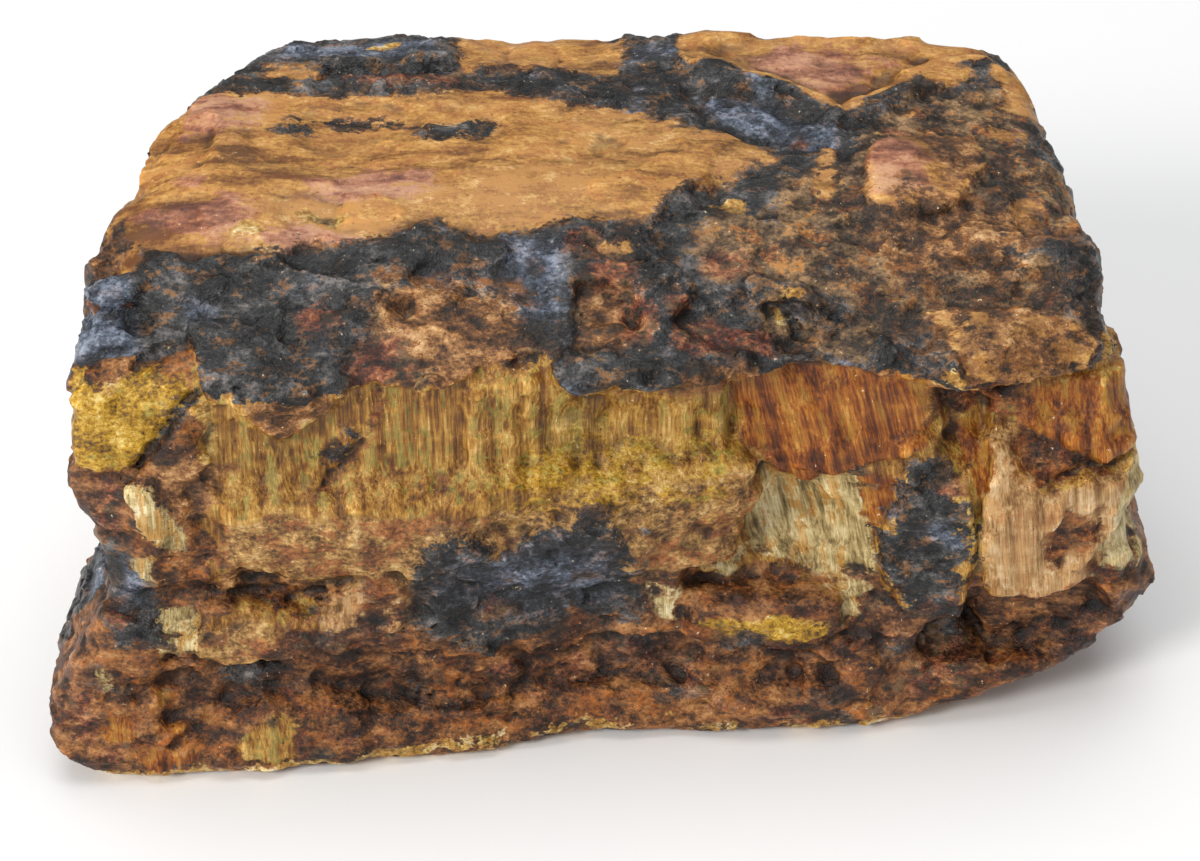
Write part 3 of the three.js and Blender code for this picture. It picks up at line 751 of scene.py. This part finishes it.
def break_edges(piece):
    """Everything with an outline, the broken facets of the rough minerals, and the smooth beds."""
    p, n, edges = places(piece)
    n = broad_normals(n, edges, 14)
    depths, faces = survey(p, n[:, 2])
    rough = roughness_of(p, depths, faces)
    slope = 1 + 0.5 * eased(-p[:, 1], 10, 18) * eased(p[:, 2], 62, 66)
    broken = 0.1 + 1.25 * facets(p, (16, 11, 8), 90) + 0.5 * facets(p, (7, 6, 5), 96)
    smooth = 0.25 * swell(p, 9, 103) + 0.35 * facets(p, (18, 10, 8), 160) + flakes(p)[1]
    out = outlined_relief(faces, len(p)) + slope * rough * broken + (1 - rough) * smooth
    out += 0.3 * eased(depths["maroon"], 0, 0.8)
    put(piece, p + n * (out * grounded(p))[:, None])


def flakes(p):
    """The thin flakes of a smooth bed: which of them each point lies on, and its height in mm."""
    lie = swell(p, (26, 16, 16), 104) + 0.4 * swell(p, (9, 6, 6), 105) + 0.12 * swell(p, 2.5, 106)
    return lie, 0.6 * np.floor(2.2 * lie)


def shares_of(depths, soft):
    """How much of each point belongs to each mineral, with the later minerals over the earlier."""
    shares = {"brown": np.ones(len(depths["seam"]))}
    for mineral in PATCHES:
        if mineral in TINTS:
            continue
        cover = eased(depths[mineral], -soft, soft)
        for under in shares:
            shares[under] = shares[under] * (1 - cover)
        shares[mineral] = cover
    return shares


def fine_relief(p, share):
    """How far the fibres, the grain and the small breaks stand out, in mm."""
    fibres = leaned(p)
    bundles = np.sqrt(np.abs(swell(fibres, (6, 6, 50), 111))) - 0.5
    strands = 0.35 * swell(fibres, (1.4, 1.4, 22), 110) + 0.7 * bundles
    splinters = 0.5 * swell(fibres, (1.8, 1.8, 11), 112) + 0.45 * swell(fibres, (4.5, 4.5, 16), 113)
    beads = 0.42 * swell(p, (1.6, 1.6, 2.0), 114) + 0.45 * swell(p, (3.6, 3.6, 4.5), 115)
    chips = 0.4 * facets(p, (4.6, 4.2, 3), 120) + 0.22 * facets(p, (2.4, 2.2, 1.6), 130)
    worn = 0.12 * swell(p, (7, 3, 3), 151) + 0.07 * swell(p, 1.8, 152)
    out = strands * (share["seam"] + share["yellow"] * 0.5 + share["rust"])
    out += splinters * (share["pale"] + share["tan"])
    out += beads * (share["grain"] + 0.5 * share["yellow"] + share["cream"])
    rough = share["crust"] + share["red"] + share["flaky"] + share["umber"] + share["brown"]
    out += chips * (rough + share["purple"])
    out += worn * (share["ochre"] + share["maroon"])
    return out


def break_finely(piece):
    """Fibres, grain, lumps of crust and small chips, each on its own mineral."""
    p, n, edges = places(piece)
    depths, _ = survey(p, broad_normals(n, edges, 14)[:, 2])
    n = broad_normals(n, edges, 3)
    out = fine_relief(p, shares_of(depths, 0.5))
    put(piece, p + n * (out * grounded(p))[:, None])


def thin_out(piece):
    """Brings the net down to the number of triangles that the stone may have."""
    only(piece)
    bpy.ops.object.mode_set(mode="EDIT")
    bpy.ops.mesh.select_all(action="SELECT")
    bpy.ops.mesh.quads_convert_to_tris()
    bpy.ops.object.mode_set(mode="OBJECT")
    modifier = piece.modifiers.new("fewer triangles", "DECIMATE")
    modifier.ratio = min(1, TRIANGLES / len(piece.data.polygons))
    bpy.ops.object.modifier_apply(modifier=modifier.name)


def map_minerals(piece):
    """Stores what the material reads at every point: how far it is inside each mineral, its place
    across the fibres, the flake it lies on, how hollow the stone is there and how much it stands
    out, its fine relief, and its grain."""
    p, n, edges = places(piece)
    depths, _ = survey(p, broad_normals(n, edges, 10)[:, 2])
    values = {"in_" + mineral: np.clip(depth, -4, 4) for mineral, depth in depths.items()}
    values["across"] = leaned(p)[:, 0]
    values["flake"] = flakes(p)[0]
    near = ((spread(p, edges, 2) - p) * n).sum(axis=1)
    wide_n = broad_normals(n, edges, 6)
    wide = ((spread(p, edges, 30) - p) * wide_n).sum(axis=1)
    # The material turns the hollow value into dirt and painted shade, darker in creases, grooves and
    # recesses.
    values["hollow"] = np.clip(near, -0.4, 0.4) * 2.2 + np.clip(wide, -1.5, 2.5) * 0.6
    values["rim"] = -near
    share = shares_of(depths, 0.4)
    values["hollow"] *= 1 - 0.7 * (share["seam"] + share["rust"] + share["pale"] + share["tan"])
    values["relief"] = np.clip(fine_relief(p, share), -0.8, 0.8)
    values.update(grain_values(share))
    for name, value in values.items():
        attribute = piece.data.attributes.new(name, "FLOAT", "POINT")
        attribute.data.foreach_set("value", value.astype(np.float32))


def grain_values(share):
    """How high the fibres and the grain stand at every point, and how matt it is."""
    values = {"fibre_lift": 0, "grain_lift": 0, "gloss": 0}
    for mineral, finish in FINISHES.items():
        fibrous = finish.texture == "fibre"
        lifts = (finish.lift, 0.2 * finish.lift) if fibrous else (0, finish.lift)
        values["gloss"] = values["gloss"] + finish.gloss * share[mineral]
        values["fibre_lift"] = values["fibre_lift"] + lifts[0] * share[mineral]
        values["grain_lift"] = values["grain_lift"] + lifts[1] * share[mineral]
    return values


def make_stone():
    """The whole stone, as one closed mesh."""
    block = frame["nodes"][NODE]
    only(block)
    stone = block.copy()
    stone.data = block.data.copy()
    stone.name = "tigers_eye_stone"
    stone.parent = None
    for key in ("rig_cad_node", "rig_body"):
        if key in stone:
            del stone[key]
    bpy.context.collection.objects.link(stone)
    only(stone)
    bpy.ops.object.mode_set(mode="EDIT")
    bpy.ops.mesh.select_all(action="SELECT")
    bpy.ops.mesh.remove_doubles(threshold=1e-6)
    bpy.ops.mesh.faces_shade_smooth()
    bpy.ops.object.mode_set(mode="OBJECT")
    remesh(stone, BROAD_CELL)
    break_broadly(stone)
    remesh(stone, EDGE_CELL)
    break_edges(stone)
    remesh(stone, FINE_CELL)
    break_finely(stone)
    thin_out(stone)
    map_minerals(stone)
    only(stone)
    bpy.ops.object.shade_smooth_by_angle(angle=math.radians(60))
    return stone


# ---------------------------------------------------------------- the stone's material

def linear(code):
    """A colour written as six hexadecimal digits, as the renderer's own light values."""
    parts = [int(code[i:i + 2], 16) / 255 for i in (0, 2, 4)]
    return [c / 12.92 if c <= 0.04045 else ((c + 0.055) / 1.055) ** 2.4 for c in parts] + [1]


# Each mineral: its colours from darkest to lightest, the colours that stray into it and the value of
# the noise that they start at, its texture, its roughness (gloss: the lower, the glossier), how
# ragged and how soft its edge is in mm, and how high its grain stands in mm.
Finish = namedtuple("Finish", "colours strangers start texture gloss ragged soft lift")
FINISHES = {
    "brown": Finish(
        ("180C05", "3A200E", "643E1E", "8E5A2C", "BE8852"), ("36160C", "703E18", "B06624"),
        start=0.5, texture="rock", gloss=0.46, ragged=0, soft=0, lift=0.42),
    "seam": Finish(
        ("402208", "744814", "9C6C26", "BE9042", "E6C47E"), ("4E4618", "82702A", "B6984E"),
        start=0.55, texture="fibre", gloss=0.42, ragged=1.6, soft=0.3, lift=0.3),
    "grain": Finish(
        ("3E2810", "74502A", "9C743E", "BC9256", "E4C48C"), ("4C2E18", "8C542A", "BC7E48"),
        start=0.5, texture="beads", gloss=0.5, ragged=2.6, soft=1.0, lift=0.34),
    "pale": Finish(
        ("5E4C28", "9C8452", "C4AE78", "DECC9C", "F8EED0"), ("80561E", "B4863E", "D8B274"),
        start=0.53, texture="fibre", gloss=0.48, ragged=2.4, soft=0.35, lift=0.34),
    "tan": Finish(
        ("5A3818", "8C6236", "B08854", "CCA678", "EAD2A8"), ("80502A", "AA7442", "CCA068"),
        start=0.53, texture="fibre", gloss=0.48, ragged=2.4, soft=0.4, lift=0.34),
    "rust": Finish(
        ("341404", "643008", "8C4A0E", "AA6A1E", "D49E50"), ("4A2C0C", "845416", "B07C2C"),
        start=0.56, texture="fibre", gloss=0.48, ragged=2.2, soft=0.35, lift=0.3),
    "yellow": Finish(
        ("483004", "7C5606", "A87E0C", "C6982C", "E8D07E"), ("584E16", "8A7626", "BEA650"),
        start=0.57, texture="beads", gloss=0.35, ragged=2.2, soft=0.5, lift=0.34),
    "ochre": Finish(
        ("784C22", "A4763A", "C2934E", "D6AA66", "ECD09E"), ("86522C", "AE7840", "CC9A58"),
        start=0.5, texture="bed", gloss=0.46, ragged=3.0, soft=0.5, lift=0.16),
    "maroon": Finish(
        ("6C4232", "96624A", "B47E60", "C8987A", "DAB08C"), ("8A5832", "B27E4C", "CEA066"),
        start=0.58, texture="bed", gloss=0.48, ragged=3.4, soft=0.9, lift=0.16),
    "purple": Finish(
        ("1A0C06", "3A2012", "5E3A20", "84562E", "B07E4E"), ("38180A", "743C16", "B06E34"),
        start=0.54, texture="rock", gloss=0.46, ragged=3.2, soft=0.6, lift=0.4),
    "umber": Finish(
        ("140F0A", "36281B", "59432D", "7C6142", "B08A60"), ("482410", "865028", "C28848"),
        start=0.54, texture="rock", gloss=0.46, ragged=2.6, soft=0.5, lift=0.4),
    "crust": Finish(
        ("090909", "181717", "2A2A2B", "424141", "7C7674"), ("281A11", "573C24", "906842"),
        start=0.56, texture="rock", gloss=0.33, ragged=5.5, soft=0.5, lift=0.4),
    "flaky": Finish(
        ("301A0C", "64401F", "906138", "B68450", "E0B682"), ("241D17", "5A3A20", "98602E"),
        start=0.52, texture="rock", gloss=0.46, ragged=3.6, soft=0.8, lift=0.4),
    "red": Finish(
        ("220E08", "4C2416", "784028", "A0643E", "CC9668"), ("191512", "42301F", "7A5A3C"),
        start=0.54, texture="rock", gloss=0.46, ragged=5.0, soft=1.0, lift=0.4),
    "cream": Finish(
        ("5C4418", "98742E", "C4A058", "DEC890", "F6EEDA"), ("6C4414", "A87830", "D8B464"),
        start=0.5, texture="beads", gloss=0.38, ragged=3.0, soft=0.4, lift=0.26),
}
# Where a texture's value turns to each of the colours, for a mineral's own and for the stray ones.
STOPS = (0.31, 0.42, 0.5, 0.58, 0.72)
STRAY_STOPS = (0.36, 0.5, 0.66)
# The painted blue reflection of the sky on the crust: its colours, and where its texture turns to each.
PAINTED_BLUE_REFLECTION = ("252A32", "515B6C", "98A3B8")
PAINTED_REFLECTION_STOPS = (0.4, 0.52, 0.68)
FLAKE_TINTS = ("584034", "8E7C6C", "A89078", "747474", "A08A6E", "625248")
FLAKE_STOPS = (0.0, 1 / 6, 1 / 3, 1 / 2, 2 / 3, 5 / 6)
# The flakes lie within this much of the middle one, about three steps up and three down.
FLAKE_RANGE = 1.365
GREEN = "8C9A60"
DARK_SPECKS = "2C211A"
# Painted glints: cream-white specks of highlight laid into the colour.
GLINTS = "F0DDB4"
# Dirt and painted shade: the dark brown laid into the colour in hollows, creases and grooves.
PAINTED_SHADE_AND_DIRT = "38261A"
WORN_EDGES = "98948C"
# How much of each of these shows where it is strongest.
GREEN_SHARE = 0.5
PAINTED_REFLECTION_SHARE = 0.74
FLAKE_SHARE = 0.5
PAINTED_SHADE_AND_DIRT_SHARE = 0.78
WEAR_SHARE = 0.8


class Nodes:
    """Adds nodes to one material, each wired or set as it is made."""

    def __init__(self, name):
        self.material = bpy.data.materials.new(name)
        self.material.use_nodes = True
        self.tree = self.material.node_tree
        self.tree.nodes.clear()

    def add(self, kind, output=0, settings=None, **inputs):
        """Adds a node and returns one of its outputs. An input has its name, or i and its number."""
        node = self.tree.nodes.new("ShaderNode" + kind)
        for key, value in (settings or {}).items():
            setattr(node, key, value)
        for key, value in inputs.items():
            socket = node.inputs[int(key[1:])] if key[0] == "i" and key[1:].isdigit() else node.inputs[key]
            if isinstance(value, bpy.types.NodeSocket):
                self.tree.links.new(value, socket)
            else:
                socket.default_value = value
        return node.outputs[output]

    def attribute(self, name):
        return self.add("Attribute", "Fac", {"attribute_name": name})

    def sum(self, *terms):
        """Adds up (value, factor) pairs."""
        total = 0.0
        for value, factor in terms:
            total = self.add("Math", 0, {"operation": "MULTIPLY_ADD"}, i0=value, i1=factor, i2=total)
        return total

    def times(self, a, b):
        """The product of two values."""
        return self.add("Math", 0, {"operation": "MULTIPLY"}, i0=a, i1=b)

    def noise(self, vector, sizes, detail, rough):
        """Noise from 0 to 1, with swells of those sizes, in mm, along each axis."""
        scale = [1 / s for s in sizes]
        place = self.add("VectorMath", 0, {"operation": "MULTIPLY"}, i0=vector, i1=scale)
        return self.add("TexNoise", "Fac", None, Vector=place, Scale=1.0, Detail=detail, Roughness=rough)

    def ramp(self, value, colours, stops, bands=False):
        """Turns a value into a colour: flowing from stop to stop, or in bands."""
        node = self.tree.nodes.new("ShaderNodeValToRGB")
        if bands:
            node.color_ramp.interpolation = "CONSTANT"
        elements = node.color_ramp.elements
        elements.remove(elements[1])
        elements[0].position = stops[0]
        elements[0].color = linear(colours[0])
        for stop, colour in zip(stops[1:], colours[1:]):
            elements.new(stop).color = linear(colour)
        self.tree.links.new(value, node.inputs[0])
        return node.outputs[0]

    def step(self, value, low, high):
        """0 where value is low, 1 where it is high, smooth between."""
        settings = {"interpolation_type": "SMOOTHSTEP"}
        return self.add("MapRange", 0, settings, i0=value, i1=low, i2=high, i3=0.0, i4=1.0)

    def mix(self, share, a, b, blend="MIX"):
        settings = {"data_type": "RGBA", "blend_type": blend}
        return self.add("Mix", 2, settings, i0=share, i6=a, i7=b)


def noises(m):
    """The noises that the textures are mixed from, by name, with swells in mm."""
    spot = m.add("VectorMath", 0, {"operation": "SCALE"}, i0=m.add("TexCoord", "Object"), Scale=1 / MM)
    parts = m.tree.nodes.new("ShaderNodeSeparateXYZ")
    m.tree.links.new(spot, parts.inputs[0])
    fibres = m.add("CombineXYZ", 0, None, X=m.attribute("across"), Y=parts.outputs[1], Z=parts.outputs[2])
    elsewhere = m.add("VectorMath", 0, None, i0=spot, i1=(31.0, 17.0, 53.0))
    return {
        "fine": m.noise(fibres, (0.42, 0.42, 9), 3, 0.65),
        "streak": m.noise(fibres, (1.9, 1.9, 26), 3, 0.6),
        "grain": m.noise(spot, (0.8, 0.7, 0.6), 3, 0.72),
        "mottle": m.noise(spot, (5.5, 4.0, 3.6), 4, 0.68),
        "other": m.noise(elsewhere, (4.6, 3.0, 2.8), 4, 0.7),
        "cloud": m.noise(spot, (22, 14, 14), 2, 0.55),
        "sweep": m.noise(spot, (12, 3.2, 3), 3, 0.7),
        "relief": m.attribute("relief"),
    }


# How much of each noise is in each texture, in what picks out the stray colours, and in what makes
# the patches' edges wander. The number alone shifts the whole.
TEXTURES = {
    "fibre": ({"fine": 0.5, "streak": 0.6, "mottle": 0.35, "cloud": 0.2, "relief": 0.13}, -0.325),
    "beads": ({"grain": 0.75, "streak": 0.3, "mottle": 0.6, "relief": 0.09}, -0.325),
    "rock": ({"grain": 0.55, "mottle": 1.0, "cloud": 0.3, "relief": 0.13}, -0.425),
    "bed": ({"grain": 0.4, "sweep": 0.95, "cloud": 0.8}, -0.575),
}
STRAY_TEXTURES = {
    "fibre": ({"streak": 1.0, "other": 0.6}, -0.3),
    "beads": ({"other": 1.0, "grain": 0.3}, -0.15),
    "rock": ({"other": 1.1, "grain": 0.35}, -0.22),
    "bed": ({"other": 0.5, "sweep": 0.5, "cloud": 0.4}, -0.2),
}
WANDER = ({"other": 1.0, "grain": 0.3}, -0.65)


def blended(m, noise, recipe):
    """One value out of the noises, by its recipe."""
    weights, shift = recipe
    return m.sum(*((noise[name], weight) for name, weight in weights.items()), (1.0, shift))


def mineral_colour(m, finish, texture, stray):
    """A mineral's own colours, with the stray ones where their noise is high."""
    own = m.ramp(texture, finish.colours, STOPS)
    foreign = m.ramp(texture, finish.strangers, STRAY_STOPS)
    return m.mix(m.step(stray, finish.start, finish.start + 0.05), own, foreign)


def flaked(m, colour):
    """A smooth bed's colour, tinted flake by flake."""
    lie = m.add("MapRange", 0, None, i0=m.attribute("flake"), i1=-FLAKE_RANGE, i2=FLAKE_RANGE)
    tints = m.ramp(lie, FLAKE_TINTS, FLAKE_STOPS, bands=True)
    return m.mix(FLAKE_SHARE, colour, tints, "SOFT_LIGHT")


def layered_colour(m, noise):
    """Every mineral's colour laid over the ones before it, in the order of FINISHES."""
    textures = {kind: blended(m, noise, recipe) for kind, recipe in TEXTURES.items()}
    strays = {kind: blended(m, noise, recipe) for kind, recipe in STRAY_TEXTURES.items()}
    wander = blended(m, noise, WANDER)
    colour = None
    for mineral, finish in FINISHES.items():
        own = mineral_colour(m, finish, textures[finish.texture], strays[finish.texture])
        if mineral == "brown":
            colour = own
            continue
        if mineral == "pale":
            tint = m.step(m.sum((wander, 2.0), (m.attribute("in_green"), 1.0)), -0.8, 1.8)
            colour = m.mix(m.times(tint, GREEN_SHARE), colour, linear(GREEN), "MULTIPLY")
        if mineral in ("ochre", "maroon"):
            own = flaked(m, own)
        edge = m.sum((wander, 2.4 * finish.ragged), (m.attribute("in_" + mineral), 1.0))
        cover = m.step(edge, -finish.soft, finish.soft)
        colour = m.mix(cover, colour, own)
        # Over the crust, a blue reflection of the sky is painted into the colour where the sheen patches
        # lie.
        if mineral == "crust":
            reflection_cover = m.step(m.sum((wander, 4.0), (m.attribute("in_painted_reflection"), 1.0)), -0.4, 2.4)
            reflection_cover = m.times(m.times(reflection_cover, cover), PAINTED_REFLECTION_SHARE)
            colour = m.mix(reflection_cover, colour, m.ramp(textures["rock"], PAINTED_BLUE_REFLECTION, PAINTED_REFLECTION_STOPS))
    return colour


def with_specks_wear_and_painted_light(m, noise, colour):
    """The colour with dark specks, painted glints, dirt and painted shade in the hollows, and wear on what
    stands out.
    """
    glint = m.sum((noise["grain"], 1.0), (noise["fine"], 0.5))
    colour = m.mix(m.step(glint, 0.57, 0.49), colour, linear(DARK_SPECKS), "MULTIPLY")
    # Painted glints: tiny cream-white specks of highlight where the grain noise is highest.
    colour = m.mix(m.step(glint, 0.955, 1.03), colour, linear(GLINTS))
    # Dirt and painted shade: the colour is darkened towards dark brown where the mesh is hollow, in
    # creases, grooves and recesses.
    shade_and_dirt = m.times(m.step(m.attribute("hollow"), 0.1, 1.2), PAINTED_SHADE_AND_DIRT_SHARE)
    colour = m.mix(shade_and_dirt, colour, linear(PAINTED_SHADE_AND_DIRT), "MULTIPLY")
    wear = m.times(m.step(m.attribute("rim"), 0.06, 0.34), WEAR_SHARE)
    return m.mix(wear, colour, linear(WORN_EDGES), "DODGE")


def stone_material():
    """The stone's one material: layered colours, gloss by mineral, and a fine grain as a bump."""
    m = Nodes("tigers eye stone")
    noise = noises(m)
    colour = with_specks_wear_and_painted_light(m, noise, layered_colour(m, noise))
    height = m.times(noise["fine"], m.attribute("fibre_lift"))
    height = m.sum((noise["grain"], m.attribute("grain_lift")), (height, 1.0))
    bump = m.add("Bump", 0, None, Height=height, Strength=1.0, Distance=MM)
    gloss = m.sum((noise["grain"], 0.5), (m.attribute("gloss"), 1.0), (1.0, -0.25))
    surface = m.tree.nodes.new("ShaderNodeBsdfPrincipled")
    surface.inputs["Specular IOR Level"].default_value = 0.42
    m.tree.links.new(colour, surface.inputs["Base Color"])
    m.tree.links.new(gloss, surface.inputs["Roughness"])
    m.tree.links.new(bump, surface.inputs["Normal"])
    output = m.tree.nodes.new("ShaderNodeOutputMaterial")
    m.tree.links.new(surface.outputs[0], output.inputs["Surface"])
    return m.material


# ---------------------------------------------------------------- the studio

def plain_material(name, code, roughness):
    """A material of one colour and one roughness."""
    material = bpy.data.materials.new(name)
    material.use_nodes = True
    surface = material.node_tree.nodes["Principled BSDF"]
    surface.inputs["Base Color"].default_value = linear(code)
    surface.inputs["Roughness"].default_value = roughness
    return material


def make_floor():
    """A wide pale floor, a hair under the resting face."""
    bpy.ops.object.select_all(action="DESELECT")
    bpy.ops.mesh.primitive_plane_add(size=8, location=(0, 0, cad_low.z - 0.05 * MM))
    floor = bpy.context.object
    floor.name = "studio_floor"
    floor.data.materials.append(plain_material("pale floor", "FEFEFE", 0.9))


def make_light(name, place, size, power, colour):
    """A square soft box of that size in metres and power in watts, aimed at the stone."""
    bpy.ops.object.light_add(type="AREA", location=place)
    lamp = bpy.context.object
    lamp.name = name
    lamp.data.size = size
    lamp.data.energy = power
    lamp.data.color = colour
    aim = Vector((0, 0, 0.04)) - lamp.location
    lamp.rotation_euler = aim.to_track_quat("-Z", "Y").to_euler()


def make_studio():
    """The floor, two soft boxes, and an even white light from all round."""
    make_floor()
    make_light("soft box overhead", (0.0, 0.15, 1.1), 1.0, 6.5, (0.97, 0.985, 1.0))
    make_light("soft box front left", (-0.9, -0.9, 0.8), 0.4, 13.5, (1.0, 0.98, 0.95))
    world = bpy.data.worlds.new("white room")
    bpy.context.scene.world = world
    world.use_nodes = True
    world.node_tree.nodes["Background"].inputs["Color"].default_value = (1, 1, 1, 1)
    world.node_tree.nodes["Background"].inputs["Strength"].default_value = 0.38
    bpy.context.scene.view_settings.view_transform = "Standard"


def make_camera():
    """A long lens looking down at the front by a little over a third of a right angle."""
    elevation = math.radians(36)
    distance = 0.45
    target = (-0.0004, -0.0089, 0.0375)
    place = Vector(target) + distance * Vector((0, -math.cos(elevation), math.sin(elevation)))
    bpy.ops.object.camera_add(location=place, rotation=(math.pi / 2 - elevation, 0, 0))
    camera = bpy.context.object
    camera.data.lens = 85
    camera.data.sensor_width = 36
    camera.data.clip_start = 0.01
    bpy.context.scene.camera = camera


make_camera()
make_studio()
stone = make_stone()
stone.data.materials.clear()
stone.data.materials.append(stone_material())
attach(stone, "root")
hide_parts(NODE)
